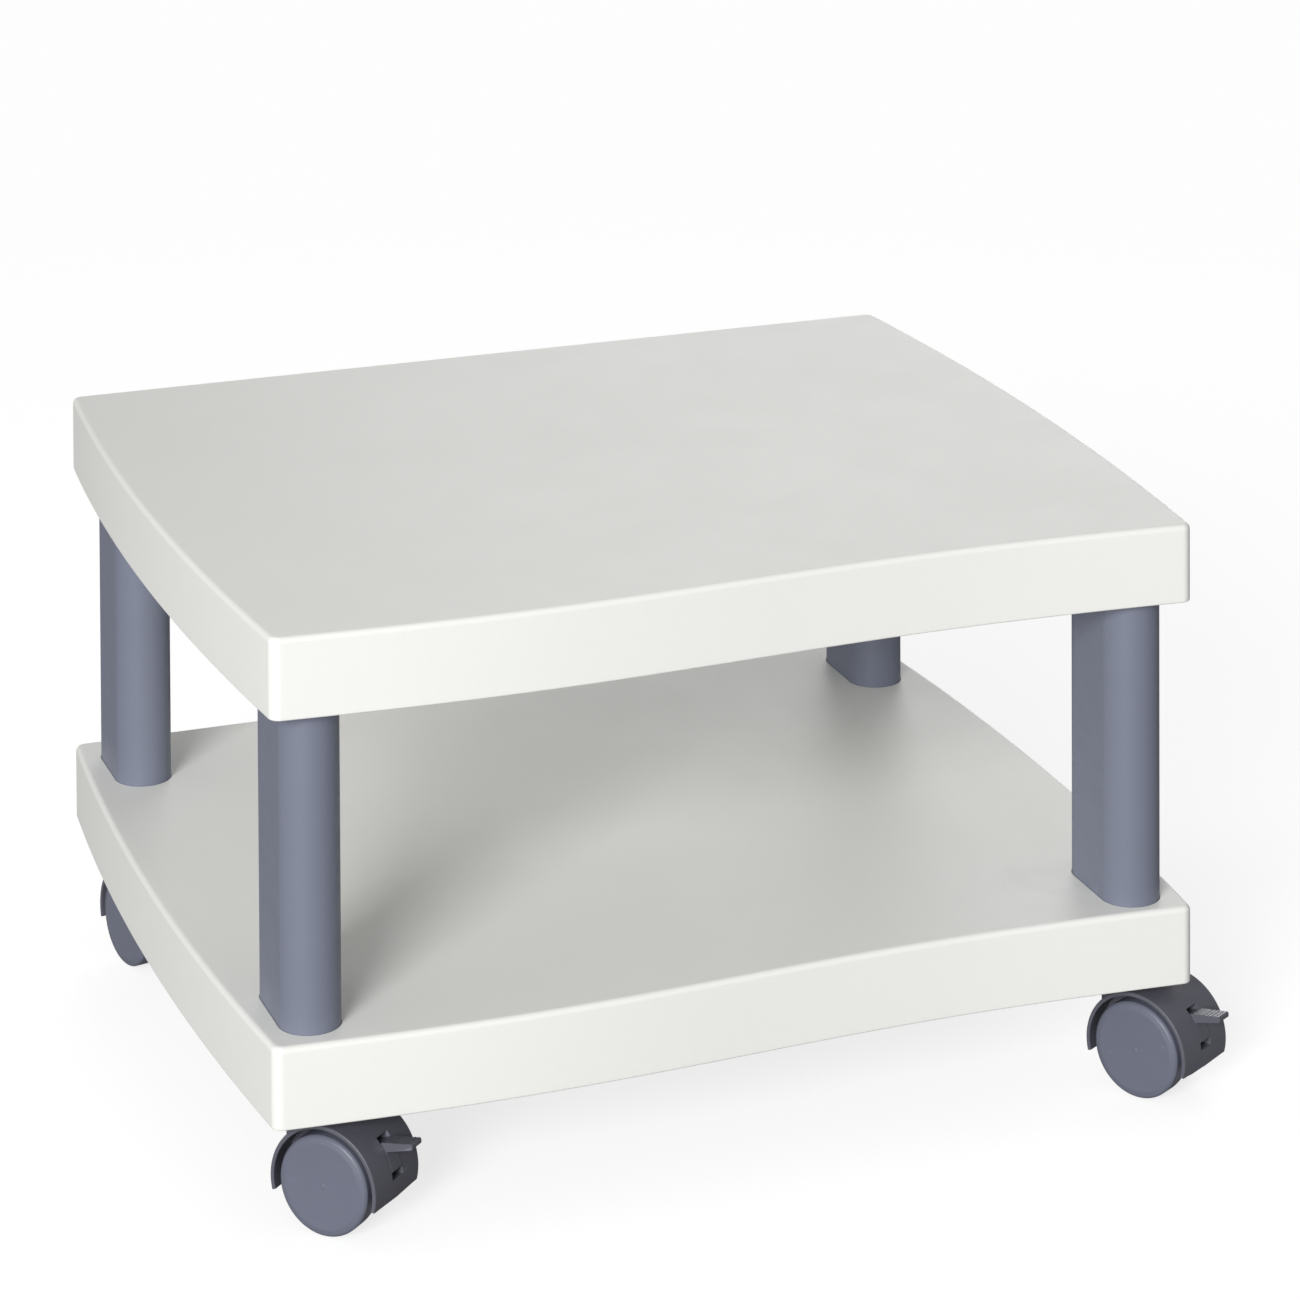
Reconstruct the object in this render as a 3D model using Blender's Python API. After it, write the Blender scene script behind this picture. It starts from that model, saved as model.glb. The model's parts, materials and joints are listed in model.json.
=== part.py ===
"""Mobile printer stand: two moulded shelves, four plug-in columns, four twin-wheel casters.

+Z is up, the floor at Z = 0, +X to the right of someone facing the stand, and the
front faces -Y. The origin is under the middle of the overall box. The front right
caster trails out past the shelf, so the shelves' own middle is at X = STAND_X.
Dimensions are in millimetres and are turned into metres as shapes are made.
"""
import math

import bmesh
import bpy
from mathutils import Vector

for old in list(bpy.data.objects):
    bpy.data.objects.remove(old, do_unlink=True)

MM = 0.001

# ---------------------------------------------------------------- driving dimensions
STAND_X = -6.0
GAP = 0.3                 # clearance between parts that plug together

# shelf plan
CORNER_WIDTH = 497.0      # between the corners, across the front
SIDE_BOW = 10.5           # how far each side bows out at mid depth
FRONT_Y = -211.0          # line through the two front corners
BACK_Y = 225.5            # straight rear edge
FRONT_WAVE = 5.5          # the front edge is one full sine wave of this height
CORNER_R = 5.0
MID_Y = (FRONT_Y + BACK_Y) / 2
HALF_DEPTH = (BACK_Y - FRONT_Y) / 2

# shelf section
SKIRT = 41.0              # shelf thickness at its edge
WALL = 3.5
LOWER_Z = 60.0            # underside of the lower shelf's skirt
TOP_Z = 262.0             # underside of the top shelf's skirt
LOWER_DECK_UNDER = LOWER_Z + SKIRT - WALL
TOP_DECK_UNDER = TOP_Z + SKIRT - WALL

# columns
COL_X, COL_Y_FRONT, COL_Y_BACK = 223.7, -169.5, 179.0
COL_W, COL_L = 31.5, 65.6  # obround section, X by Y
POCKET_FLOOR = 81.0       # level in the lower shelf that the columns stand above
SNAP_TOP = (281.0, 286.0)  # heights of the snap noses on a column's upper and lower ends
SNAP_LOW = (84.5, 89.5)
CORNERS = {
    "front_left": (-COL_X, COL_Y_FRONT),
    "front_right": (COL_X, COL_Y_FRONT),
    "rear_left": (-COL_X, COL_Y_BACK),
    "rear_right": (COL_X, COL_Y_BACK),
}

# casters
WHEEL_R = 25.0
TRAIL = 25.0              # swivel axis to axle
AXLE_R = 3.0
PIN_R = 4.0               # stem below its flange
SOCKET_R = 7.5            # sleeve pressed up into the lower shelf
BOSS_BOTTOM = LOWER_Z + 0.4
BRAKE_PIVOT = (18.5, 12.5)   # from the axle, outwards and up
BRAKE_SHOE = (9.5, 14.5)     # from the axle, outwards and up
BRAKE_PIN_R = 1.5
# how each caster stands: degrees of its trail direction from +X, braked or not
CASTERS = {
    "front_left": (-47.0, True),
    "front_right": (-57.5, True),
    "rear_left": (-76.0, False),
    "rear_right": (-57.0, False),
}

# ---------------------------------------------------------------- materials
SHELF_PLASTIC = dict(colour=(0.83, 0.83, 0.80), roughness=0.5)
COLUMN_PLASTIC = dict(colour=(0.20, 0.215, 0.27), roughness=0.45)
HOOD_PLASTIC = dict(colour=(0.075, 0.077, 0.095), roughness=0.4)
WHEEL_PLASTIC = dict(colour=(0.17, 0.18, 0.235), roughness=0.42)
SOCKET_PLASTIC = dict(colour=(0.06, 0.06, 0.065), roughness=0.5)
STEEL = dict(colour=(0.55, 0.55, 0.56), roughness=0.3, metallic=1.0)


def material(name, colour, roughness, metallic=0.0):
    result = bpy.data.materials.new(name)
    result.use_nodes = True
    inputs = result.node_tree.nodes["Principled BSDF"].inputs
    inputs["Base Color"].default_value = (*colour, 1.0)
    inputs["Roughness"].default_value = roughness
    inputs["Metallic"].default_value = metallic
    return result


# ---------------------------------------------------------------- points in a plane
OBROUND_STEPS = 8         # segments in each round end


def spread(start, end, steps):
    """Evenly spaced values, both ends included."""
    return [start + (end - start) * k / steps for k in range(steps + 1)]


def polar(radius, degrees):
    angle = math.radians(degrees)
    return radius * math.cos(angle), radius * math.sin(angle)


def arc(radius, start, end, steps):
    return [polar(radius, degrees) for degrees in spread(start, end, steps)]


def rectangle(x0, y0, x1, y1):
    return [(x0, y0), (x1, y0), (x1, y1), (x0, y1)]


def obround(cx, cy, width, length):
    """Points of an obround, its straight sides along Y."""
    radius, half = width / 2, (length - width) / 2
    points = []
    for sign, start in ((1, 0), (-1, math.pi)):
        for k in range(OBROUND_STEPS + 1):
            angle = math.pi * k / OBROUND_STEPS + start
            points.append((cx + radius * math.cos(angle),
                           cy + sign * half + radius * math.sin(angle)))
    return points


def inset(points, distance):
    """A counter-clockwise outline moved inwards."""
    result = []
    for i, point in enumerate(points):
        before, here = Vector(points[i - 1]), Vector(point)
        after = Vector(points[(i + 1) % len(points)])
        edge_in, edge_out = (here - before).normalized(), (after - here).normalized()
        normal_in = Vector((-edge_in.y, edge_in.x))
        normal_out = Vector((-edge_out.y, edge_out.x))
        mitre = (normal_in + normal_out).normalized()
        moved = here + mitre * (distance / mitre.dot(normal_in))
        result.append((moved.x, moved.y))
    return result


# ---------------------------------------------------------------- solids, as bmeshes
def loft(rings, closed=False):
    """Skin equal rings of points in turn; cap the ends, or join the last to the first."""
    bm = bmesh.new()
    verts = [[bm.verts.new(point) for point in ring] for ring in rings]
    count = len(rings[0])
    pairs = list(zip(verts, verts[1:]))
    if closed:
        pairs.append((verts[-1], verts[0]))
    for a, b in pairs:
        for i in range(count):
            j = (i + 1) % count
            bm.faces.new((a[i], a[j], b[j], b[i]))
    if not closed:
        bm.faces.new(verts[0])
        bm.faces.new(verts[-1])
    return bm


def prism(points, low, high, plane="XY"):
    """A polygon in the XY or XZ plane, pushed from low to high along the third axis."""
    def place(a, b, c):
        return Vector((a, b, c)) if plane == "XY" else Vector((a, c, b))
    return loft([[place(a, b, level) for a, b in points] for level in (low, high)])


def box(low, high):
    (x0, y0, z0), (x1, y1, z1) = low, high
    return prism(rectangle(x0, y0, x1, y1), z0, z1)


def turned(profile, steps, closed=False, axis="Z"):
    """A (radius, height) profile turned about the Z or Y axis; radius 0 makes a pole."""
    def place(a, b, height):
        return (a, b, height) if axis == "Z" else (a, height, b)
    bm = bmesh.new()
    rings = []
    for radius, height in profile:
        if radius == 0:
            rings.append([bm.verts.new(place(0, 0, height))])
            continue
        angles = [2 * math.pi * k / steps for k in range(steps)]
        rings.append([bm.verts.new(place(radius * math.cos(angle), radius * math.sin(angle), height))
                      for angle in angles])
    pairs = list(zip(rings, rings[1:]))
    if closed:
        pairs.append((rings[-1], rings[0]))
    for a, b in pairs:
        for k in range(steps):
            j = (k + 1) % steps
            if len(a) == 1:
                bm.faces.new((a[0], b[j], b[k]))
            elif len(b) == 1:
                bm.faces.new((a[k], a[j], b[0]))
            else:
                bm.faces.new((a[k], a[j], b[j], b[k]))
    return bm


def rod(radius, low, high, steps, axis="Z", at=(0, 0, 0)):
    """A cylinder along Z or Y, moved to a place."""
    bm = turned([(0, low), (radius, low), (radius, high), (0, high)], steps, axis=axis)
    bmesh.ops.translate(bm, vec=at, verts=bm.verts[:])
    return bm


# ---------------------------------------------------------------- meshes and objects
JOIN, CUT = "UNION", "DIFFERENCE"
SHARP_ANGLE = math.radians(32)
MERGE_DISTANCE = 0.000002   # metres


def shade(mesh):
    mesh.shade_smooth()
    mesh.set_sharp_from_angle(angle=SHARP_ANGLE)


def to_mesh(name, bm, smooth=False):
    """A bmesh in millimetres into a mesh in metres, faces outwards."""
    bmesh.ops.recalc_face_normals(bm, faces=bm.faces[:])
    bmesh.ops.scale(bm, vec=(MM, MM, MM), verts=bm.verts[:])
    mesh = bpy.data.meshes.new(name)
    bm.to_mesh(mesh)
    bm.free()
    if smooth:
        shade(mesh)
    return mesh


def add_object(name, mesh):
    obj = bpy.data.objects.new(name, mesh)
    bpy.context.scene.collection.objects.link(obj)
    return obj


def combine(name, base, steps):
    """Apply (JOIN or CUT, bmesh) steps to a base bmesh, in order, into one mesh."""
    work = add_object("work", to_mesh(name, base))
    for operation, bm in steps:
        tool = add_object("tool", to_mesh("tool", bm))
        tool.display_type = "WIRE"
        tool.hide_render = True
        modifier = work.modifiers.new("step", "BOOLEAN")
        modifier.solver = "EXACT"
        modifier.operation = operation
        modifier.object = tool
        bpy.context.view_layer.update()
        graph = bpy.context.evaluated_depsgraph_get()
        mesh = bpy.data.meshes.new_from_object(work.evaluated_get(graph))
        work.modifiers.clear()
        work.data = mesh
        bpy.data.objects.remove(tool, do_unlink=True)
    bpy.data.objects.remove(work, do_unlink=True)

    # weld the slivers that the booleans leave
    bm = bmesh.new()
    bm.from_mesh(mesh)
    bmesh.ops.remove_doubles(bm, verts=bm.verts[:], dist=MERGE_DISTANCE)
    bmesh.ops.dissolve_degenerate(bm, edges=bm.edges[:], dist=MERGE_DISTANCE)
    bm.to_mesh(mesh)
    bm.free()
    shade(mesh)
    return mesh


def place_object(name, mesh, parent=None, location=(0, 0, 0), rotation_z=0.0):
    """An object in its parent's frame; no mesh makes an empty."""
    obj = add_object(name, mesh)
    obj.parent = parent
    obj.location = Vector(location) * MM
    obj.rotation_euler = (0, 0, rotation_z)
    return obj


def make(name, mesh, look, parent, location=(0, 0, 0), rotation_z=0.0):
    """A placed piece with a material of its own, named after it."""
    mesh.materials.clear()
    mesh.materials.append(material(name, **look))
    place_object(name, mesh, parent, location, rotation_z)


# ---------------------------------------------------------------- shelves
FRONT_STEPS, SIDE_STEPS, BACK_STEPS, CORNER_STEPS = 22, 8, 2, 4
EDGE_R = 3.0              # round along the top edge
EDGE_STEPS = 3
OUTER_CHAMFER, INNER_CHAMFER = 0.8, 0.6   # along the skirt's lower rim

RIB_T = 2.6
CROSS_RIB_Y = (-95.0, MID_Y, 104.0)            # ribs running left to right
LONG_RIB_X = (-150.0, -50.0, 50.0, 150.0)      # ribs running front to back
LONG_RIB_RISE = 2.0       # their lower edge, above that of the cross ribs
# how far each shape runs up into the deck
CROSS_RIB_OVERLAP, LONG_RIB_OVERLAP, COLLAR_OVERLAP = 1.0, 1.4, 1.2
TOP_RIB_DEPTH, LOWER_RIB_DEPTH = 20.0, 22.0

COLLAR_T = 2.5
TOP_COLLAR_Z = 277.0      # lower rim of the top shelf's column sockets
POCKET_FLOOR_T = 3.0
SNAP_WINDOW_HALF = 4.6    # half width along Y
SNAP_WINDOW_MARGIN = 0.5  # above and below the nose

BOSS_R, BOSS_TOP = 10.5, 86.5
BOSS_BORE_TOP = 83.6


def front_edge(x):
    return FRONT_Y + FRONT_WAVE * math.sin(2 * math.pi * x / CORNER_WIDTH)


def side_edge(y):
    t = (y - MID_Y) / HALF_DEPTH
    return CORNER_WIDTH / 2 + SIDE_BOW * (1 - t * t)


def corner_curve(start, corner, end):
    """Points between start and end of a rational quadratic curve, a near circular round."""
    points = []
    for i in range(1, CORNER_STEPS):
        t = i / CORNER_STEPS
        weights = ((1 - t) ** 2, 2 * t * (1 - t) * math.cos(math.pi / 4), t * t)
        total = sum(weights)
        points.append(tuple(
            (weights[0] * start[m] + weights[1] * corner[m] + weights[2] * end[m]) / total
            for m in (0, 1)))
    return points


def shelf_outline():
    """Counter-clockwise from the front left corner, corners rounded."""
    half = CORNER_WIDTH / 2
    x_end = half - CORNER_R
    y_front, y_back = FRONT_Y + CORNER_R, BACK_Y - CORNER_R
    # each edge, and the corner that follows it
    edges = [
        ([(x, front_edge(x)) for x in spread(-x_end, x_end, FRONT_STEPS)], (half, FRONT_Y)),
        ([(side_edge(y), y) for y in spread(y_front, y_back, SIDE_STEPS)], (half, BACK_Y)),
        ([(x, BACK_Y) for x in spread(x_end, -x_end, BACK_STEPS)], (-half, BACK_Y)),
        ([(-side_edge(y), y) for y in spread(y_back, y_front, SIDE_STEPS)], (-half, FRONT_Y)),
    ]
    points = []
    for k, (edge, corner) in enumerate(edges):
        following = edges[(k + 1) % len(edges)][0]
        points += edge + corner_curve(edge[-1], corner, following[0])
    return points


def shelf_shell(z):
    """Top deck with its skirt, open underneath."""
    outline = shelf_outline()
    top = z + SKIRT
    levels = []                              # (inset, height)
    for k in range(EDGE_STEPS + 1):
        angle = math.pi / 2 * k / EDGE_STEPS
        levels.append((EDGE_R * (1 - math.sin(angle)), top - EDGE_R * (1 - math.cos(angle))))
    levels += [
        (0.0, z + OUTER_CHAMFER), (OUTER_CHAMFER, z),
        (WALL - INNER_CHAMFER, z), (WALL, z + INNER_CHAMFER),
        (WALL, top - WALL),
    ]
    return loft([[Vector((x, y, height)) for x, y in inset(outline, distance)]
                 for distance, height in levels])


def ribs(deck_under, depth):
    """A grid of ribs under the deck, running into the skirt."""
    half, bottom = RIB_T / 2, deck_under - depth
    steps = []
    for y in CROSS_RIB_Y:
        x = side_edge(y) - WALL / 2
        steps.append((JOIN, box((-x, y - half, bottom),
                                (x, y + half, deck_under + CROSS_RIB_OVERLAP))))
    for x in LONG_RIB_X:
        steps.append((JOIN, box((x - half, front_edge(x) + WALL / 2, bottom + LONG_RIB_RISE),
                                (x + half, BACK_Y - WALL / 2, deck_under + LONG_RIB_OVERLAP))))
    return steps


def column_solid(cx, cy, margin, low, high):
    """A column's outline grown by a margin, as a solid."""
    return prism(obround(cx, cy, COL_W + 2 * margin, COL_L + 2 * margin), low, high)


def collars(low, deck_under):
    return [(JOIN, column_solid(cx, cy, GAP + COLLAR_T, low, deck_under + COLLAR_OVERLAP))
            for cx, cy in CORNERS.values()]


def inward(cx):
    """Sign of X from a column towards the middle of the stand."""
    return -1 if cx > 0 else 1


def snap_window(cx, cy, snap):
    """Opening in a collar, on the side facing the middle, for a snap nose."""
    reaches = (COL_W / 2 - 1, COL_W / 2 + GAP + COLLAR_T + 2)
    x0, x1 = sorted(cx + inward(cx) * reach for reach in reaches)
    return box((x0, cy - SNAP_WINDOW_HALF, snap[0] - SNAP_WINDOW_MARGIN),
               (x1, cy + SNAP_WINDOW_HALF, snap[1] + SNAP_WINDOW_MARGIN))


def top_shelf():
    """Shelf with column sockets that open downwards."""
    steps = ribs(TOP_DECK_UNDER, TOP_RIB_DEPTH) + collars(TOP_COLLAR_Z, TOP_DECK_UNDER)
    for cx, cy in CORNERS.values():
        steps += [
            (CUT, column_solid(cx, cy, GAP, TOP_COLLAR_Z - 2, TOP_DECK_UNDER)),
            (CUT, snap_window(cx, cy, SNAP_TOP)),
        ]
    return combine("shell", shelf_shell(TOP_Z), steps)


def lower_shelf():
    """Shelf with column pockets through its deck and a bored caster boss under each."""
    steps = ribs(LOWER_DECK_UNDER, LOWER_RIB_DEPTH)
    steps += collars(POCKET_FLOOR - POCKET_FLOOR_T, LOWER_DECK_UNDER)
    for cx, cy in CORNERS.values():
        at = (cx, cy, 0)
        steps += [
            (CUT, column_solid(cx, cy, GAP, POCKET_FLOOR, LOWER_Z + SKIRT + 2)),
            (CUT, snap_window(cx, cy, SNAP_LOW)),
            (JOIN, rod(BOSS_R, BOSS_BOTTOM, BOSS_TOP, 16, at=at)),
            (CUT, rod(SOCKET_R + GAP, LOWER_Z - 4, BOSS_BORE_TOP, 16, at=at)),
        ]
    return combine("shell", shelf_shell(LOWER_Z), steps)


# ---------------------------------------------------------------- columns
COL_WALL = 2.6
COL_CHAMFER = 0.8         # around the outside of both ends
SNAP_HALF = 4.0           # half width along Y
SNAP_PROUD = 1.3          # at the thick end; the other end is flush
SNAP_ROOT = 1.0           # depth into the column's wall


def column(cx):
    """Obround tube, its snap noses facing the middle; origin on its axis at floor level."""
    low, high = POCKET_FLOOR + GAP, TOP_DECK_UNDER - GAP
    levels = [                               # (inset, height)
        (COL_CHAMFER, low), (0.0, low + COL_CHAMFER),
        (0.0, high - COL_CHAMFER), (COL_CHAMFER, high),
        (COL_WALL, high), (COL_WALL, low),
    ]
    tube = loft([[Vector((x, y, height))
                  for x, y in obround(0, 0, COL_W - 2 * distance, COL_L - 2 * distance)]
                 for distance, height in levels], closed=True)
    side, face = inward(cx), COL_W / 2
    steps = []
    # each nose is thick at the end nearer the column's middle
    for thick, thin in (SNAP_TOP, SNAP_LOW[::-1]):
        nose = [(side * (face - SNAP_ROOT), thick), (side * (face + SNAP_PROUD), thick),
                (side * face, thin), (side * (face - SNAP_ROOT), thin)]
        steps.append((JOIN, prism(nose, -SNAP_HALF, SNAP_HALF, plane="XZ")))
    return combine("tube", tube, steps)


# ---------------------------------------------------------------- caster hood
HOOD_R, HOOD_T = 30.4, 2.3
HOOD_HALF = 21.2          # half width along Y
HOOD_DROP = 14.0          # degrees the hood's ends reach below axle level
HOOD_STEPS = 20
WEB_HALF = 7.0            # half thickness of the web
WEB_FOOT_Z, WEB_FOOT_HALF = 9.0, 12.0   # the web's flat lower edge
BARREL_R, BARREL_BOTTOM = 7.4, 17.0
HOOD_TOP = 56.0
PIN_HOLE_BOTTOM = 24.0
SLOT_HALF = 4.9           # half width of the lever's slot
SLOT_R = (13.0, 32.0)     # the slot's inner and outer radii about the axle
SLOT_ANGLES = (74, 51, 28, 4.5)
# window around the brake shoe, from the shoe's axis
WINDOW_BACK, WINDOW_OUT, WINDOW_DOWN, WINDOW_UP = 2.2, 2.8, 2.2, 4.9


def from_axle(points):
    """Points about the axle into the swivel's XZ plane."""
    return [(TRAIL + x, WHEEL_R + z) for x, z in points]


def brake_cuts():
    """The lever's slot, the shoe's window and the pivot pin's hole."""
    slot = [polar(SLOT_R[0], degrees) for degrees in SLOT_ANGLES]
    slot += [polar(SLOT_R[1], degrees) for degrees in reversed(SLOT_ANGLES)]
    [(shoe_x, shoe_z), (pivot_x, pivot_z)] = from_axle([BRAKE_SHOE, BRAKE_PIVOT])
    window = rectangle(shoe_x - WINDOW_BACK, shoe_z - WINDOW_DOWN,
                       shoe_x + WINDOW_OUT, shoe_z + WINDOW_UP)
    return [
        (CUT, prism(from_axle(slot), -SLOT_HALF, SLOT_HALF, plane="XZ")),
        (CUT, prism(window, -10, 10, plane="XZ")),
        (CUT, rod(BRAKE_PIN_R + GAP, -12, 12, 12, axis="Y", at=(pivot_x, 0, pivot_z))),
    ]


def hood(braked):
    """Arched roof, web and stem barrel; origin on the swivel axis at floor level."""
    start, end = -HOOD_DROP, 180 + HOOD_DROP
    roof = from_axle(arc(HOOD_R, start, end, HOOD_STEPS)
                     + arc(HOOD_R - HOOD_T, end, start, HOOD_STEPS))
    web = from_axle(arc(HOOD_R - HOOD_T / 2, start, end, HOOD_STEPS))
    web += [(TRAIL - WEB_FOOT_HALF, WEB_FOOT_Z), (TRAIL + WEB_FOOT_HALF, WEB_FOOT_Z)]
    steps = [
        (JOIN, prism(web, -WEB_HALF, WEB_HALF, plane="XZ")),
        (JOIN, rod(BARREL_R, BARREL_BOTTOM, HOOD_TOP, 16)),
        (CUT, rod(PIN_R + GAP, PIN_HOLE_BOTTOM, HOOD_TOP + 5, 16)),
        (CUT, rod(AXLE_R + GAP, -20, 20, 16, axis="Y", at=(TRAIL, 0, WHEEL_R))),
    ]
    if braked:
        steps += brake_cuts()
    return combine("roof", prism(roof, -HOOD_HALF, HOOD_HALF, plane="XZ"), steps)


# ---------------------------------------------------------------- wheels, stem and socket
WHEEL_IN, WHEEL_OUT = 8.6, 21.7   # wheel's inner and outer faces from the caster's mid plane
DISC_FACE_R, RIM_BEVEL = 22.6, 1.8
RIM_IN_R, HUB_R = 21.6, 7.0
DISC_INNER = 18.1         # inner face of the disc, from the mid plane
HUB_SETBACK = 0.6         # hub's end behind the rim's inner face
BORE_END = 18.5
AXLE_HALF = 17.9
STEM_R = 5.5
GROOVE_R, GROOVE_Z = 4.3, (72.4, 76.0)
RING_R, RING_OPEN, RING_STEPS = 5.75, 26.0, 16   # outer radius, degrees of the split
SOCKET_BORE, SOCKET_TOP = 6.05, 83.2
SOCKET_FLANGE_R, SOCKET_FLANGE_T = 10.0, 1.5


def wheel():
    """One wheel about its own axle, its disc face towards -Y."""
    profile = [
        (0, -WHEEL_OUT), (DISC_FACE_R, -WHEEL_OUT), (WHEEL_R, -WHEEL_OUT + RIM_BEVEL),
        (WHEEL_R, -WHEEL_IN), (RIM_IN_R, -WHEEL_IN), (RIM_IN_R, -DISC_INNER),
        (HUB_R, -DISC_INNER), (HUB_R, -WHEEL_IN + HUB_SETBACK),
        (AXLE_R + GAP, -WHEEL_IN + HUB_SETBACK), (AXLE_R + GAP, -BORE_END), (0, -BORE_END),
    ]
    return to_mesh("wheel", turned(profile, 20, axis="Y"), smooth=True)


def axle():
    return to_mesh("axle", rod(AXLE_R, -AXLE_HALF, AXLE_HALF, 16, axis="Y"), smooth=True)


def stem():
    """Pin, flange, grooved shank and tapered tip, from the bottom up."""
    profile = [
        (0, 24.4), (PIN_R, 24.4), (PIN_R, 56.4),
        (7.3, 56.4), (7.3, 58.1), (STEM_R, 58.1),
        (STEM_R, GROOVE_Z[0]), (GROOVE_R, GROOVE_Z[0]),
        (GROOVE_R, GROOVE_Z[1]), (STEM_R, GROOVE_Z[1]),
        (STEM_R, 79.6), (3.6, 82.2), (0, 82.2),
    ]
    return to_mesh("stem", turned(profile, 12), smooth=True)


def grip_ring():
    """Split ring in the stem's groove, open towards +X."""
    start, end = RING_OPEN / 2, 360 - RING_OPEN / 2
    points = arc(RING_R, start, end, RING_STEPS) + arc(GROOVE_R + GAP, end, start, RING_STEPS)
    return to_mesh("ring", prism(points, GROOVE_Z[0] + GAP, GROOVE_Z[1] - GAP), smooth=True)


def socket():
    """Flanged sleeve around the stem, its flange just under the shelf's boss."""
    flange_top = BOSS_BOTTOM - GAP
    bottom = flange_top - SOCKET_FLANGE_T
    profile = [
        (SOCKET_BORE, bottom), (SOCKET_FLANGE_R, bottom), (SOCKET_FLANGE_R, flange_top),
        (SOCKET_R, flange_top), (SOCKET_R, SOCKET_TOP), (SOCKET_BORE, SOCKET_TOP),
    ]
    return to_mesh("socket", turned(profile, 16, closed=True), smooth=True)


# ---------------------------------------------------------------- brake
LEVER_HALF = 4.5          # half width along Y
SHOE_R, SHOE_HALF = 1.6, 13.0
BRAKE_PIN_HALF = 6.6
# side outline, (outwards, up) from the axle
LEVER_OUTLINE = [
    *[polar(30.5, degrees) for degrees in (11.5, 17, 22.5, 28)],   # curved outer face
    (26.8, 16.0), (40.8, 19.6), (41.5, 20.2), (41.5, 22.0), (40.8, 22.6), (24.8, 20.2),  # tongue
    (19.7, 18.2), (12.5, 18.0), (8.0, 16.4), (7.2, 14.4),          # arm, around the shoe
    (8.4, 12.6), (14.0, 10.6), (17.0, 8.4), (21.0, 8.0),
    polar(26.8, 11.5),
]


def brake_lever():
    """Tongue, face and shoe in one moulding; origin on the pivot."""
    pivot_x, pivot_z = BRAKE_PIVOT
    shoe_at = (BRAKE_SHOE[0] - pivot_x, 0, BRAKE_SHOE[1] - pivot_z)
    body = prism([(x - pivot_x, z - pivot_z) for x, z in LEVER_OUTLINE],
                 -LEVER_HALF, LEVER_HALF, plane="XZ")
    return combine("lever", body, [
        (JOIN, rod(SHOE_R, -SHOE_HALF, SHOE_HALF, 12, axis="Y", at=shoe_at)),
        (CUT, rod(BRAKE_PIN_R + GAP, -9, 9, 12, axis="Y")),
    ])


def brake_pin():
    pin = rod(BRAKE_PIN_R, -BRAKE_PIN_HALF, BRAKE_PIN_HALF, 12, axis="Y")
    return to_mesh("pin", pin, smooth=True)


# ---------------------------------------------------------------- assembly
def add_caster(where, stand):
    heading, braked = CASTERS[where]
    at = (*CORNERS[where], 0)
    # fixed to the shelf
    make("caster_socket_" + where, socket(), SOCKET_PLASTIC, stand, at)
    make("caster_stem_" + where, stem(), STEEL, stand, at)
    make("grip_ring_" + where, grip_ring(), STEEL, stand, at)
    # turns about the stem
    swivel = place_object("swivel_" + where, None, stand, at, math.radians(heading))
    axle_at = (TRAIL, 0, WHEEL_R)
    make("caster_hood_" + where, hood(braked), HOOD_PLASTIC, swivel)
    make("axle_" + where, axle(), STEEL, swivel, axle_at)
    make("wheel_outer_" + where, wheel(), WHEEL_PLASTIC, swivel, axle_at)
    make("wheel_inner_" + where, wheel(), WHEEL_PLASTIC, swivel, axle_at, math.pi)
    if braked:
        pivot_at = (TRAIL + BRAKE_PIVOT[0], 0, WHEEL_R + BRAKE_PIVOT[1])
        make("brake_lever_" + where, brake_lever(), HOOD_PLASTIC, swivel, pivot_at)
        make("brake_pin_" + where, brake_pin(), STEEL, swivel, pivot_at)


def build_stand():
    stand = place_object("stand", None, location=(STAND_X, 0, 0))
    make("top_shelf", top_shelf(), SHELF_PLASTIC, stand)
    make("lower_shelf", lower_shelf(), SHELF_PLASTIC, stand)
    for where, (cx, cy) in CORNERS.items():
        make("column_" + where, column(cx), COLUMN_PLASTIC, stand, (cx, cy, 0))
    for where in CASTERS:
        add_caster(where, stand)


build_stand()
bpy.context.view_layer.update()
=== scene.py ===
"""Looks for the mobile printer stand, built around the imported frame. Metres, +Z up."""

import json
import math

import bmesh
import bpy
from mathutils import Matrix, Vector


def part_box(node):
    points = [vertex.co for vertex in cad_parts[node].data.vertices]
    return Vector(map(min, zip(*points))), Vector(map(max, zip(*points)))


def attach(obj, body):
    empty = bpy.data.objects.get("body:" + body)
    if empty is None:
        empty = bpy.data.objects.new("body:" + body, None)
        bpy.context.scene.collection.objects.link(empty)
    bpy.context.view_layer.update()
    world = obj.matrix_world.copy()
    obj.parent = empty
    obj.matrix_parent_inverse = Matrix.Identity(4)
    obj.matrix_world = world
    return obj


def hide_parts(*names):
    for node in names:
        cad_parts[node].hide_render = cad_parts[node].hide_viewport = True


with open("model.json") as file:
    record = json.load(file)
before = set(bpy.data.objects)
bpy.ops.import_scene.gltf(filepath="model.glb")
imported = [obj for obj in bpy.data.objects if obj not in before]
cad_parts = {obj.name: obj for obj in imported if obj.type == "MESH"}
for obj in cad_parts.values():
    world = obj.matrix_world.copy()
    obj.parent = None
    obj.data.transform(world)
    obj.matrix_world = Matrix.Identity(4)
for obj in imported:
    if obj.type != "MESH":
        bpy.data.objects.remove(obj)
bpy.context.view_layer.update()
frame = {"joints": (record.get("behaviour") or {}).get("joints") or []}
JOINTS = {j["name"]: j for j in frame["joints"]}
MM = 0.001
SHELF_LO, SHELF_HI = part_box("top_shelf")
SX = (SHELF_LO.x + SHELF_HI.x) / 2 / MM      # the shelves' own middle, mm
LOWER_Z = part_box("lower_shelf")[0].z / MM
TOP_Z = SHELF_LO.z / MM

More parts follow.
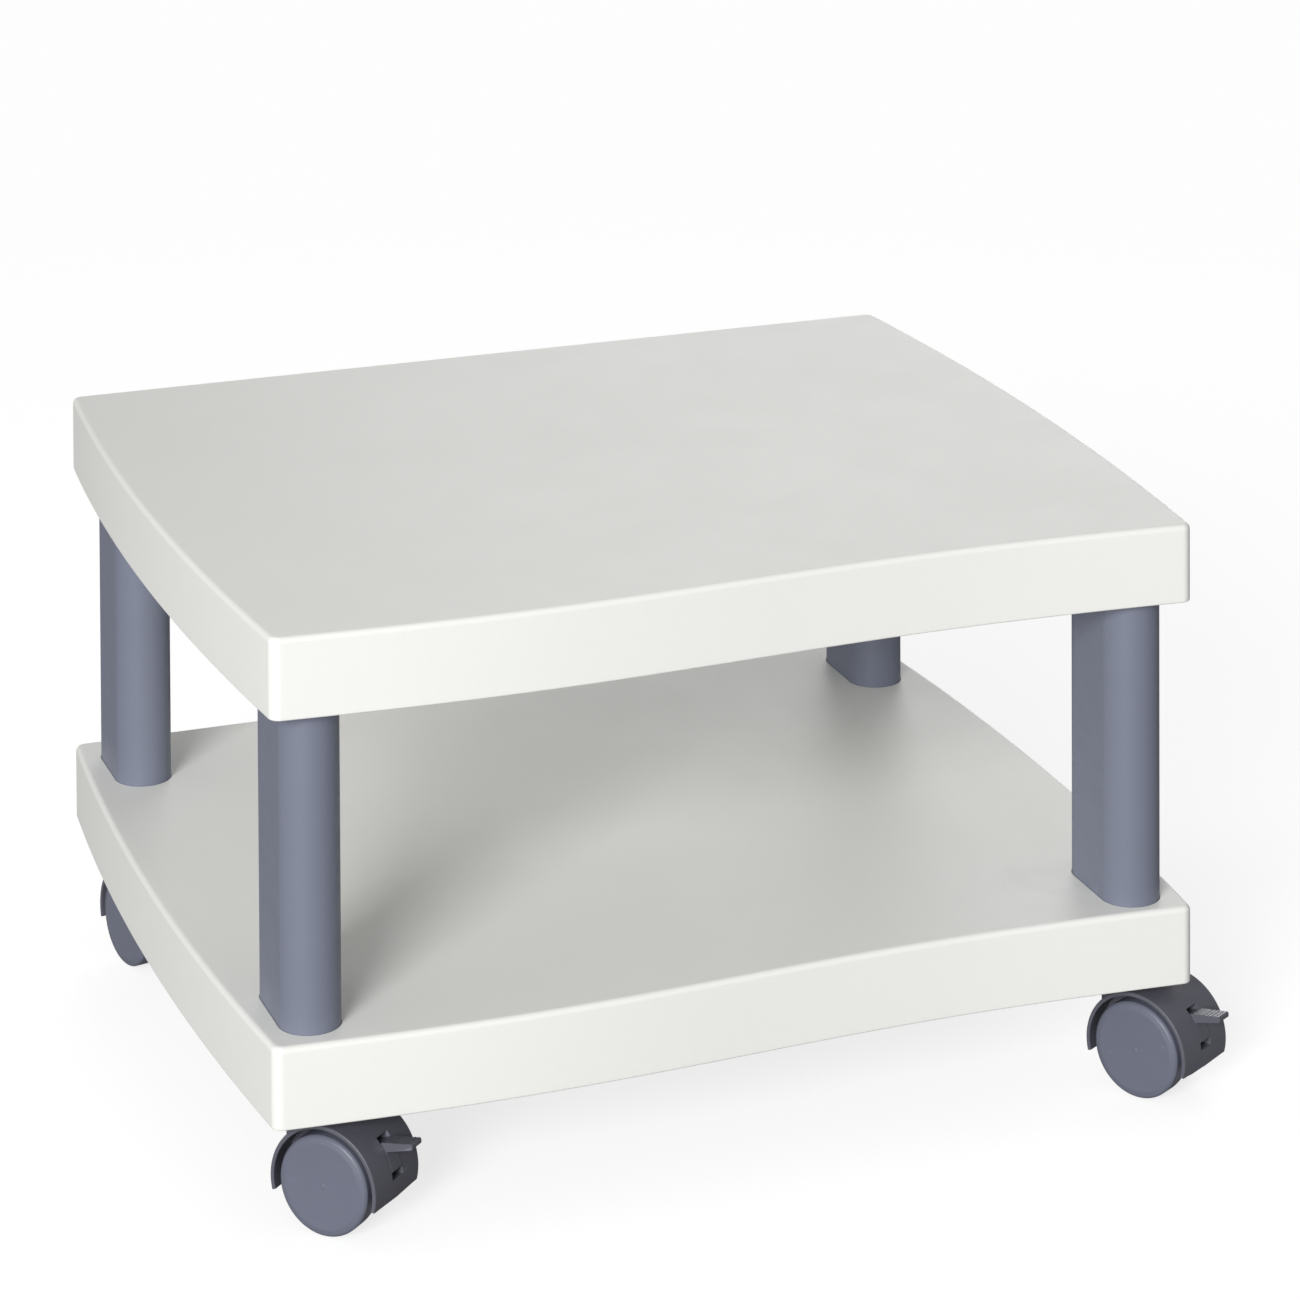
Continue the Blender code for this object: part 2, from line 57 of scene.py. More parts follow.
# ------------------------------------------------------------------ sizes, mm, as in the CAD
CORNER_WIDTH, SIDE_BOW, FRONT_Y, BACK_Y, FRONT_WAVE, CORNER_R = 497.0, 10.5, -211.0, 225.5, 5.5, 5.0
SKIRT, WALL, EDGE_R, RIB_T = 41.0, 3.5, 3.0, 2.6
COL_X, COL_Y_FRONT, COL_Y_BACK, COL_W, COL_L, COL_WALL = 223.7, -169.5, 179.0, 31.5, 65.6, 2.6
GAP, COLLAR_T, POCKET_FLOOR, TOP_COLLAR_Z = 0.3, 2.5, 81.0, 277.0
SNAP_TOP, SNAP_LOW = (281.0, 286.0), (84.5, 89.5)
WHEEL_R, TRAIL, WHEEL_IN, WHEEL_OUT, RIM_IN_R, HUB_R, AXLE_R = 25.0, 25.0, 8.6, 21.7, 21.6, 7.0, 3.0
HOOD_R, HOOD_CROWN, HOOD_T, HOOD_HALF, HOOD_DROP, WEB_HALF, BARREL_R, HOOD_TOP = 30.2, 30.75, 2.1, 21.15, 14.0, 7.0, 7.4, 56.0
STEM_R, PIN_R, SOCKET_BORE, SOCKET_R, BOSS_R = 5.5, 4.0, 6.05, 7.5, 10.5
BRAKE_PIVOT, BRAKE_SHOE, LEVER_HALF, SLOT_HALF = (18.5, 12.5), (9.5, 14.5), 4.5, 4.9
WHERE = ("front_left", "front_right", "rear_left", "rear_right")
COLUMNS = {
    "front_left": (-COL_X, COL_Y_FRONT), "front_right": (COL_X, COL_Y_FRONT),
    "rear_left": (-COL_X, COL_Y_BACK), "rear_right": (COL_X, COL_Y_BACK),
}


# ------------------------------------------------------------------ node materials
class Tree:
    """Small helper for wiring a material's nodes."""

    def __init__(self, name):
        self.mat = bpy.data.materials.new(name)
        self.mat.use_nodes = True
        self.t = self.mat.node_tree
        self.bsdf = self.t.nodes["Principled BSDF"]
        self.coord = self.node("ShaderNodeTexCoord").outputs["Object"]

    def node(self, kind, **props):
        n = self.t.nodes.new(kind)
        for k, v in props.items():
            setattr(n, k, v)
        return n

    def link(self, a, b):
        self.t.links.new(a, b)

    def mapped(self, scale):
        m = self.node("ShaderNodeMapping")
        m.inputs["Scale"].default_value = scale
        self.link(self.coord, m.inputs["Vector"])
        return m.outputs["Vector"]

    def noise(self, scale, detail=3.0, rough=0.5, vector=None):
        n = self.node("ShaderNodeTexNoise")
        n.inputs["Scale"].default_value = scale
        n.inputs["Detail"].default_value = detail
        n.inputs["Roughness"].default_value = rough
        self.link(vector or self.coord, n.inputs["Vector"])
        return n.outputs["Fac"]

    def cells(self, scale, vector=None):
        n = self.node("ShaderNodeTexVoronoi", feature="F1")
        n.inputs["Scale"].default_value = scale
        self.link(vector or self.coord, n.inputs["Vector"])
        return n.outputs["Distance"]

    def span(self, value, a, b, lo, hi):
        n = self.node("ShaderNodeMapRange")
        n.inputs["From Min"].default_value = a
        n.inputs["From Max"].default_value = b
        n.inputs["To Min"].default_value = lo
        n.inputs["To Max"].default_value = hi
        self.link(value, n.inputs["Value"])
        return n.outputs["Result"]

    def math(self, op, a, b):
        n = self.node("ShaderNodeMath", operation=op)
        for i, v in enumerate((a, b)):
            if isinstance(v, (int, float)):
                n.inputs[i].default_value = v
            else:
                self.link(v, n.inputs[i])
        return n.outputs["Value"]

    def mix(self, fac, a, b):
        n = self.node("ShaderNodeMix", data_type="RGBA")
        self.link(fac, n.inputs["Factor"])
        for key, v in (("A", a), ("B", b)):
            sock = [s for s in n.inputs if s.name == key and s.type == "RGBA"][0]
            if isinstance(v, (tuple, list)):
                sock.default_value = (*v, 1.0)
            else:
                self.link(v, sock)
        return [s for s in n.outputs if s.type == "RGBA"][0]

    def bump(self, height, distance, strength=1.0, below=None):
        n = self.node("ShaderNodeBump")
        n.inputs["Distance"].default_value = distance
        n.inputs["Strength"].default_value = strength
        self.link(height, n.inputs["Height"])
        if below is not None:
            self.link(below, n.inputs["Normal"])
        return n.outputs["Normal"]

    def edges(self, lo, hi):
        """1 on worn convex edges, 0 elsewhere."""
        g = self.node("ShaderNodeNewGeometry")
        return self.span(g.outputs["Pointiness"], lo, hi, 0.0, 1.0)


def tint(c, k):
    return tuple(min(1.0, v * k) for v in c)


def plastic(name, colour, rough, cell=0.0011, depth=0.000022, wave=0.00012, wear=1.08, spec=0.5, var=0.02, worn=0.53, sheen=0.05):
    """Injection-moulded plastic: fine spark-eroded grain, slow sink waviness, patchy sheen, rubbed edges."""
    t = Tree(name)
    slow = t.noise(7.0, 2.0)
    base = t.mix(t.span(slow, 0.3, 0.7, 0.0, 1.0), tint(colour, 1 - var), tint(colour, 1 + var * 0.6))
    fleck = t.noise(1500.0, 0.0)
    base = t.mix(t.span(fleck, 0.62, 0.8, 0.0, 0.22), base, tint(colour, 0.88))
    edge = t.math("MULTIPLY", t.edges(worn, worn + 0.07), t.span(t.noise(260.0, 1.0), 0.35, 0.65, 0.25, 1.0))
    base = t.mix(edge, base, tint(colour, wear))
    t.link(base, t.bsdf.inputs["Base Color"])
    patch = t.noise(38.0, 2.0, 0.62)
    scuff = t.noise(1.0, 2.0, 0.6, t.mapped((26.0, 26.0, 420.0)))
    r = t.math("ADD", t.span(patch, 0.3, 0.7, rough - sheen, rough + sheen), t.span(scuff, 0.35, 0.7, -sheen / 2, sheen / 2))
    r = t.math("ADD", r, t.math("MULTIPLY", edge, 0.07))
    t.link(r, t.bsdf.inputs["Roughness"])
    t.bsdf.inputs["Specular IOR Level"].default_value = spec
    low = t.bump(t.noise(16.0, 1.0), wave)
    mid = t.bump(t.cells(1.0 / cell), depth, 1.0, low)
    t.link(mid, t.bsdf.inputs["Normal"])
    return t.mat


def steel(name, colour=(0.56, 0.56, 0.57), rough=0.3, metallic=1.0):
    """Zinc-plated turned steel: fine rings round the axis, mottled plating."""
    t = Tree(name)
    spots = t.noise(420.0, 4.0, 0.6)
    t.link(t.mix(t.span(spots, 0.35, 0.7, 0.0, 1.0), tint(colour, 0.86), tint(colour, 1.06)), t.bsdf.inputs["Base Color"])
    t.link(t.span(t.noise(900.0, 4.0), 0.3, 0.7, rough - 0.07, rough + 0.1), t.bsdf.inputs["Roughness"])
    t.bsdf.inputs["Metallic"].default_value = metallic
    rings = t.noise(1.0, 3.0, 0.6, t.mapped((60.0, 60.0, 5200.0)))
    t.link(t.bump(rings, 0.000012, 0.8), t.bsdf.inputs["Normal"])
    return t.mat


SHELF = plastic("shelf_plastic_grained", (0.785, 0.785, 0.758), 0.52, cell=0.0013, depth=0.00002, wave=0.000012, wear=1.03, var=0.01, spec=0.28, sheen=0.014)
COLUMN = plastic("column_plastic_satin", (0.168, 0.183, 0.24), 0.45, cell=0.0009, depth=0.000012, wave=0.0001, wear=1.16, spec=0.4)
HOOD = plastic("caster_hood_plastic", (0.094, 0.096, 0.119), 0.42, cell=0.0008, depth=0.000012, wave=0.00004, wear=1.7, worn=0.56)
WHEEL = plastic("caster_wheel_nylon", (0.132, 0.140, 0.185), 0.42, cell=0.0007, depth=0.00001, wave=0.00004, wear=1.15, worn=0.56, spec=0.4)
# tread material: darker and rougher than the wheel face, all round the running surface
TREAD = plastic("caster_tread_darker", (0.085, 0.09, 0.118), 0.55, cell=0.0011, depth=0.00003, wave=0.00004, wear=1.2, var=0.08, worn=0.56)
SOCKET = plastic("socket_black_nylon", (0.03, 0.03, 0.033), 0.45, cell=0.0007, depth=0.00001, wave=0.00003, wear=1.4)
STEEL = steel("zinc_plated_steel")
SPRING = steel("spring_steel", (0.34, 0.34, 0.36), 0.34)


# ------------------------------------------------------------------ mesh helpers
def polar(r, degrees):
    a = math.radians(degrees)
    return r * math.cos(a), r * math.sin(a)


def rounded(points, closed=False, n=5):
    """A polyline of (x, y, radius) with its corners turned into arcs."""
    out = []
    m = len(points)
    for i, (x, y, r) in enumerate(points):
        if r <= 0 or (not closed and i in (0, m - 1)):
            out.append((x, y))
            continue
        p, q = Vector((x, y)), None
        a, b = Vector(points[i - 1][:2]) - p, Vector(points[(i + 1) % m][:2]) - p
        la, lb = a.length, b.length
        a.normalize()
        b.normalize()
        half = a.angle(b) / 2
        if half > math.pi / 2 - 0.01:
            out.append((x, y))
            continue
        cut = min(r / math.tan(half), la * 0.49, lb * 0.49)
        p0, p2 = p + a * cut, p + b * cut
        w = math.sin(half)
        for k in range(n + 1):
            t = k / n
            wa, wc, wb = (1 - t) ** 2, 2 * t * (1 - t) * w, t * t
            q = (p0 * wa + p * wc + p2 * wb) / (wa + wc + wb)
            out.append((q.x, q.y))
    return out


def add_loft(bm, rings, loop=False):
    verts = [[bm.verts.new(p) for p in ring] for ring in rings]
    n = len(rings[0])
    pairs = list(zip(verts, verts[1:]))
    if loop:
        pairs.append((verts[-1], verts[0]))
    for a, b in pairs:
        for i in range(n):
            j = (i + 1) % n
            bm.faces.new((a[i], a[j], b[j], b[i]))
    if not loop:
        bm.faces.new(verts[0])
        bm.faces.new(verts[-1])


def add_prism(bm, points, lo, hi, plane="XY"):
    def place(a, b, c):
        return Vector((a, b, c)) if plane == "XY" else Vector((a, c, b))
    add_loft(bm, [[place(a, b, lo) for a, b in points], [place(a, b, hi) for a, b in points]])


def add_box(bm, lo, hi):
    (x0, y0, z0), (x1, y1, z1) = lo, hi
    add_prism(bm, [(x0, y0), (x1, y0), (x1, y1), (x0, y1)], z0, z1)


def add_turned(bm, profile, steps, closed=False, axis="Z", at=(0, 0, 0)):
    ox, oy, oz = at
    rings = []
    for r, h in profile:
        if r < 1e-6:
            p = (ox, oy, oz + h) if axis == "Z" else (ox, oy + h, oz)
            rings.append([bm.verts.new(p)])
            continue
        ring = []
        for k in range(steps):
            a = 2 * math.pi * k / steps
            c, s = r * math.cos(a), r * math.sin(a)
            ring.append(bm.verts.new((ox + c, oy + s, oz + h) if axis == "Z" else (ox + c, oy + h, oz + s)))
        rings.append(ring)
    pairs = list(zip(rings, rings[1:]))
    if closed:
        pairs.append((rings[-1], rings[0]))
    for a, b in pairs:
        for k in range(steps):
            j = (k + 1) % steps
            if len(a) == 1:
                bm.faces.new((a[0], b[j], b[k]))
            elif len(b) == 1:
                bm.faces.new((a[k], a[j], b[0]))
            else:
                bm.faces.new((a[k], a[j], b[j], b[k]))


def obround(cx, cy, width, length, steps=28):
    r, half = width / 2, (length - width) / 2
    pts = []
    for sign in (1, -1):
        for k in range(steps + 1):
            a = math.pi * k / steps + (0 if sign > 0 else math.pi)
            pts.append((cx + r * math.cos(a), cy + sign * half + r * math.sin(a)))
    return pts


def mesh_of(bm, name):
    bmesh.ops.recalc_face_normals(bm, faces=bm.faces[:])
    bmesh.ops.scale(bm, vec=(MM, MM, MM), verts=bm.verts[:])
    me = bpy.data.meshes.new(name)
    bm.to_mesh(me)
    bm.free()
    return me


def baked(obj):
    bpy.context.view_layer.update()
    dg = bpy.context.evaluated_depsgraph_get()
    me = bpy.data.meshes.new_from_object(obj.evaluated_get(dg))
    obj.modifiers.clear()
    obj.data = me
    return obj


def carve(me, steps):
    """Boolean steps on a mesh: ('+' or '-', bmesh of one or more closed tools)."""
    obj = bpy.data.objects.new("carve", me)
    bpy.context.scene.collection.objects.link(obj)
    for sign, bm in steps:
        tool = bpy.data.objects.new("carve_tool", mesh_of(bm, "tool"))
        bpy.context.scene.collection.objects.link(tool)
        mod = obj.modifiers.new("b", "BOOLEAN")
        mod.solver = "EXACT"
        mod.operation = "UNION" if sign == "+" else "DIFFERENCE"
        mod.object = tool
        baked(obj)
        bpy.data.objects.remove(tool, do_unlink=True)
    me = obj.data
    bpy.data.objects.remove(obj, do_unlink=True)
    bm = bmesh.new()
    bm.from_mesh(me)
    bmesh.ops.remove_doubles(bm, verts=bm.verts[:], dist=0.000004)
    bmesh.ops.dissolve_degenerate(bm, edges=bm.edges[:], dist=0.000004)
    bm.to_mesh(me)
    bm.free()
    return me


def piece(name, me, mat, body, nodes, at=(0, 0, 0), turn=0.0, bevel=0.0, segments=2, angle=38.0):
    """Places a mesh, rounds its edges, and puts it on its body in place of its CAD nodes."""
    me.transform(Matrix.Rotation(turn, 4, "Z"))
    obj = bpy.data.objects.new(name, me)
    bpy.context.scene.collection.objects.link(obj)
    obj.location = Vector(at) * MM
    if bevel:
        b = obj.modifiers.new("edge", "BEVEL")
        b.width = bevel * MM
        b.segments = segments
        b.limit_method = "ANGLE"
        b.angle_limit = math.radians(angle)
        b.use_clamp_overlap = True
        b.harden_normals = False
        bpy.context.view_layer.update()
        dg = bpy.context.evaluated_depsgraph_get()
        me = bpy.data.meshes.new_from_object(obj.evaluated_get(dg))
        obj.modifiers.clear()
        obj.data = me
    me.shade_smooth()
    me.set_sharp_from_angle(angle=math.radians(36))
    me.materials.clear()
    for m in (mat if isinstance(mat, (list, tuple)) else [mat]):
        me.materials.append(m)
    w = obj.modifiers.new("shading", "WEIGHTED_NORMAL")
    w.mode = "FACE_AREA"
    w.weight = 60
    w.keep_sharp = True
    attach(obj, body)
    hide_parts(*nodes)
    return obj


# ------------------------------------------------------------------ shelves
MID_Y, HALF_D = (FRONT_Y + BACK_Y) / 2, (BACK_Y - FRONT_Y) / 2


def front_edge(x):
    return FRONT_Y + FRONT_WAVE * math.sin(2 * math.pi * x / CORNER_WIDTH)


def side_edge(y):
    t = (y - MID_Y) / HALF_D
    return CORNER_WIDTH / 2 + SIDE_BOW * (1 - t * t)


def plan(front_n=96, side_n=40, back_n=24, corner_n=9):
    h, c = CORNER_WIDTH / 2, CORNER_R
    def lerp(a, b, n):
        return [a + (b - a) * k / n for k in range(n + 1)]
    runs = [
        [(x, front_edge(x)) for x in lerp(-h + c, h - c, front_n)],
        [(side_edge(y), y) for y in lerp(FRONT_Y + c, BACK_Y - c, side_n)],
        [(x, BACK_Y) for x in lerp(h - c, -h + c, back_n)],
        [(-side_edge(y), y) for y in lerp(BACK_Y - c, FRONT_Y + c, side_n)],
    ]
    corners = [(h, FRONT_Y), (h, BACK_Y), (-h, BACK_Y), (-h, FRONT_Y)]
    w = math.cos(math.pi / 4)
    pts = []
    for k, run in enumerate(runs):
        pts += run
        a, b, corner = run[-1], runs[(k + 1) % 4][0], corners[k]
        for i in range(1, corner_n):
            t = i / corner_n
            wa, wc, wb = (1 - t) ** 2, 2 * t * (1 - t) * w, t * t
            s = wa + wc + wb
            pts.append(tuple((wa * a[m] + wc * corner[m] + wb * b[m]) / s for m in (0, 1)))
    return pts


def inset(pts, d):
    out = []
    n = len(pts)
    for i in range(n):
        p, q, r = Vector(pts[i - 1]), Vector(pts[i]), Vector(pts[(i + 1) % n])
        e1, e2 = (q - p).normalized(), (r - q).normalized()
        n1, n2 = Vector((-e1.y, e1.x)), Vector((-e2.y, e2.x))
        m = (n1 + n2).normalized()
        s = q + m * (d / max(m.dot(n1), 0.3))
        out.append((s.x, s.y))
    return out


def shelf_shell(z):
    outline = plan()
    top, under = z + SKIRT, z + SKIRT - WALL
    section = [(EDGE_R + 60.0, top), (EDGE_R + 1.5, top)]
    section += [(EDGE_R * (1 - math.sin(a)), top - EDGE_R * (1 - math.cos(a)))
                for a in (math.pi / 2 * k / 8 for k in range(9))]
    section += [(0.0, z + 18.0)]
    section += rounded([(0.0, z + 4.0, 0), (0.0, z, 0.9), (WALL, z, 0.7), (WALL, z + 4.0, 0)], n=4)
    section += rounded([(WALL, z + 5.0, 0), (WALL, under, 1.0), (WALL + 1.2, under, 0)], n=4)
    section += [(EDGE_R + 60.0, under)]
    bm = bmesh.new()
    rings = []
    for d, h in section:
        if d > 20:   # deep inside the deck, a plainly shrunken outline keeps its order
            k = 1 - d / 246.0
            rings.append([Vector((x * k, MID_Y + (y - MID_Y) * k, h)) for x, y in outline])
        else:
            rings.append([Vector((x, y, h)) for x, y in inset(outline, d)])
    add_loft(bm, rings)
    return mesh_of(bm, "shell")


def rib_tools(under, depth):
    a, b = bmesh.new(), bmesh.new()
    for y in (-95.0, MID_Y, 104.0):
        x = side_edge(y) - WALL / 2
        add_box(a, (-x, y - RIB_T / 2, under - depth), (x, y + RIB_T / 2, under + 1.0))
    for x in (-150.0, -50.0, 50.0, 150.0):
        add_box(b, (x - RIB_T / 2, front_edge(x) + WALL / 2, under - depth + 2.0),
                (x + RIB_T / 2, BACK_Y - WALL / 2, under + 1.4))
    return [("+", a), ("+", b)]


def across(cx, lo, hi):
    s = -1 if cx > 0 else 1
    return sorted((cx + s * lo, cx + s * hi))


def collar_tools(lo, hi, cut_lo, cut_hi, snap):
    r = GAP + COLLAR_T
    walls, pockets, windows = bmesh.new(), bmesh.new(), bmesh.new()
    for cx, cy in COLUMNS.values():
        add_prism(walls, obround(cx, cy, COL_W + 2 * r, COL_L + 2 * r), lo, hi)
        add_prism(pockets, obround(cx, cy, COL_W + 2 * GAP, COL_L + 2 * GAP), cut_lo, cut_hi)
        x0, x1 = across(cx, COL_W / 2 - 1, COL_W / 2 + r + 2)
        add_box(windows, (x0, cy - 4.6, snap[0] - 0.5), (x1, cy + 4.6, snap[1] + 0.5))
    return [("+", walls), ("-", pockets), ("-", windows)]


def top_shelf():
    under = TOP_Z + SKIRT - WALL
    return carve(shelf_shell(TOP_Z), rib_tools(under, 20.0)
                 + collar_tools(TOP_COLLAR_Z, under + 1.2, TOP_COLLAR_Z - 2, under, SNAP_TOP))


def lower_shelf():
    top = LOWER_Z + SKIRT
    under = top - WALL
    posts, bores = bmesh.new(), bmesh.new()
    for cx, cy in COLUMNS.values():
        add_turned(posts, [(0, LOWER_Z + 0.4), (BOSS_R, LOWER_Z + 0.4), (BOSS_R, 86.5), (0, 86.5)], 48, at=(cx, cy, 0))
        add_turned(bores, [(0, LOWER_Z - 4), (SOCKET_R + GAP, LOWER_Z - 4), (SOCKET_R + GAP, 83.6), (0, 83.6)], 48, at=(cx, cy, 0))
    return carve(shelf_shell(LOWER_Z), rib_tools(under, 22.0)
                 + collar_tools(POCKET_FLOOR - 3, under + 1.2, POCKET_FLOOR, top + 2, SNAP_LOW)
                 + [("+", posts), ("-", bores)])


def column(cx):
    z0, z1 = POCKET_FLOOR + GAP, TOP_Z + SKIRT - WALL - GAP
    section = rounded([(0.0, z0 + 3, 0), (0.0, z0, 0.8), (COL_WALL, z0, 0.4), (COL_WALL, z0 + 3, 0)], n=3)
    section += rounded([(COL_WALL, z1 - 3, 0), (COL_WALL, z1, 0.4), (0.0, z1, 0.8), (0.0, z1 - 3, 0)], n=3)
    section += [(0.0, z0 + (z1 - z0) * k / 6) for k in range(5, 0, -1)]
    bm = bmesh.new()
    add_loft(bm, [[Vector((x, y, h)) for x, y in obround(0, 0, COL_W - 2 * d, COL_L - 2 * d)]
                  for d, h in section], loop=True)
    s, h = (-1 if cx > 0 else 1), COL_W / 2
    noses = bmesh.new()
    for (lo, hi), up in ((SNAP_TOP, True), (SNAP_LOW, False)):
        thick, thin = (lo, hi) if up else (hi, lo)
        add_prism(noses, [(s * (h - 1.0), thick), (s * (h + 1.3), thick), (s * h, thin), (s * (h - 1.0), thin)],
                  -4.0, 4.0, plane="XZ")
    return carve(mesh_of(bm, "tube"), [("+", noses)])


# ------------------------------------------------------------------ casters
def hood(braked):
    cu, cz = TRAIL, WHEEL_R
    a0, a1, n = -HOOD_DROP, 180 + HOOD_DROP, 72
    ri = HOOD_R - HOOD_T
    crown, h = HOOD_CROWN, HOOD_HALF     # the roof is domed across, its shoulders fall to the lips
    section = rounded([(-h, ri, 0.4), (h, ri, 0.4), (h, HOOD_R, 0.7), (h - 4.6, crown - 0.5, 2.2), (0, crown, 0),
                       (4.6 - h, crown - 0.5, 2.2), (-h, HOOD_R, 0.7)], closed=True, n=5)
    rings = []
    for k in range(n + 1):
        a = math.radians(a0 + (a1 - a0) * k / n)
        rings.append([Vector((cu + r * math.cos(a), y, cz + r * math.sin(a))) for y, r in section])
    roof, body = bmesh.new(), bmesh.new()
    add_loft(roof, rings)
    mid = ri + 1.0
    arc = [polar(mid, a0 + (a1 - a0) * k / n) for k in range(n + 1)]
    foot = rounded([(cu + arc[-1][0], cz + arc[-1][1], 0), (cu - 12, 9.0, 6.0), (cu + 12, 9.0, 6.0),
                    (cu + arc[0][0], cz + arc[0][1], 0)], n=8)[1:-1]
    add_prism(body, [(cu + x, cz + y) for x, y in arc] + foot, -WEB_HALF, WEB_HALF, plane="XZ")
    barrel = bmesh.new()
    add_turned(barrel, rounded([(0, 17.0, 0), (BARREL_R, 17.0, 0.8), (BARREL_R, HOOD_TOP, 0.8), (0, HOOD_TOP, 0)], n=4), 64)
    bore, pin = bmesh.new(), bmesh.new()
    add_turned(bore, [(0, 24.0), (PIN_R + GAP, 24.0), (PIN_R + GAP, HOOD_TOP + 5), (0, HOOD_TOP + 5)], 40)
    add_turned(pin, [(0, -20), (AXLE_R + GAP, -20), (AXLE_R + GAP, 20), (0, 20)], 40, axis="Y", at=(cu, 0, cz))
    steps = [("+", body), ("+", barrel), ("-", bore), ("-", pin)]
    if braked:
        slot, window, hole = bmesh.new(), bmesh.new(), bmesh.new()
        edge = [polar(13.0, 74 - 69.5 * k / 12) for k in range(13)] + [polar(32.5, 4.5 + 41.5 * k / 8) for k in range(9)]
        edge += [polar(27.5, 46 + 28 * k / 6) for k in range(7)]      # the roof stays whole above the tab
        add_prism(slot, [(cu + x, cz + y) for x, y in edge], -SLOT_HALF, SLOT_HALF, plane="XZ")
        su, sz = cu + BRAKE_SHOE[0], cz + BRAKE_SHOE[1]
        add_prism(window, [(su - 2.2, sz - 2.2), (su + 2.8, sz - 2.2), (su + 2.8, sz + 4.9), (su - 2.2, sz + 4.9)],
                  -7.3, 7.3, plane="XZ")
        add_turned(hole, [(0, -7.3), (1.8, -7.3), (1.8, 7.3), (0, 7.3)], 32, axis="Y",
                   at=(cu + BRAKE_PIVOT[0], 0, cz + BRAKE_PIVOT[1]))
        steps += [("-", slot), ("-", window), ("-", hole)]
    return carve(mesh_of(roof, "roof"), steps)


def wheel():
    o, i = WHEEL_OUT, WHEEL_IN
    profile = rounded([
        (0, -o + 0.22, 0), (1.2, -o + 0.22, 0.3), (1.45, -o + 0.45, 0.25), (7.0, -o + 0.43, 4), (17.0, -o + 0.2, 6), (21.2, -o, 3.0), (23.9, -o + 0.75, 2.0),
        (WHEEL_R - 0.04, -o + 1.9, 1.0), (WHEEL_R, -o + 4.4, 3),
        (WHEEL_R, -i - 2.0, 3), (WHEEL_R - 0.25, -i, 0.8), (RIM_IN_R, -i, 0.4),
        (RIM_IN_R, -18.1, 1.0), (HUB_R, -18.1, 1.0), (HUB_R, -i + 0.6, 0.4), (AXLE_R + GAP, -i + 0.6, 0.3),
        (AXLE_R + GAP, -18.5, 0.2), (0, -18.5, 0),
    ], n=5)
    bm = bmesh.new()
    add_turned(bm, profile, 120, axis="Y")
    me = mesh_of(bm, "wheel")
    for p in me.polygons:      # the running surface gets the darker, rougher tread material
        c = p.center / MM
        if math.hypot(c.x, c.z) > 24.6 and -o + 2.0 < c.y < -i - 0.6:
            p.material_index = 1
    return me


def stem():
    bm = bmesh.new()
    add_turned(bm, rounded([
        (0, 24.4, 0), (PIN_R, 24.4, 0.6), (PIN_R, 56.4, 0.2), (7.3, 56.4, 0.4), (7.3, 58.1, 0.4), (STEM_R, 58.1, 0.3),
        (STEM_R, 72.4, 0.3), (4.3, 72.4, 0.2), (4.3, 76.0, 0.2), (STEM_R, 76.0, 0.3), (STEM_R, 79.6, 1.0),
        (3.6, 82.2, 1.0), (0, 82.2, 0)], n=4), 64)
    return mesh_of(bm, "stem")


def grip_ring():
    n, gap = 60, 26.0
    section = rounded([(4.6, 72.7, 0.3), (5.75, 72.7, 0.5), (5.75, 75.7, 0.5), (4.6, 75.7, 0.3)], closed=True, n=4)
    rings = []
    for k in range(n + 1):
        a = math.radians(gap / 2 + (360 - gap) * k / n)
        rings.append([Vector((r * math.cos(a), r * math.sin(a), h)) for r, h in section])
    bm = bmesh.new()
    add_loft(bm, rings)
    return mesh_of(bm, "ring")


def socket():
    lo = 58.6
    bm = bmesh.new()
    add_turned(bm, rounded([
        (SOCKET_BORE, lo, 0.5), (10.0, lo, 0.5), (10.0, lo + 1.5, 0.4), (SOCKET_R, lo + 1.5, 0.3),
        (SOCKET_R, 83.2, 0.4), (SOCKET_BORE, 83.2, 0.4)], closed=True, n=4), 72, closed=True)
    return mesh_of(bm, "socket")


def axle():
    bm = bmesh.new()
    add_turned(bm, rounded([(0, -17.9, 0), (AXLE_R, -17.9, 0.6), (AXLE_R, 17.9, 0.6), (0, 17.9, 0)], n=4), 48, axis="Y")
    return mesh_of(bm, "axle")


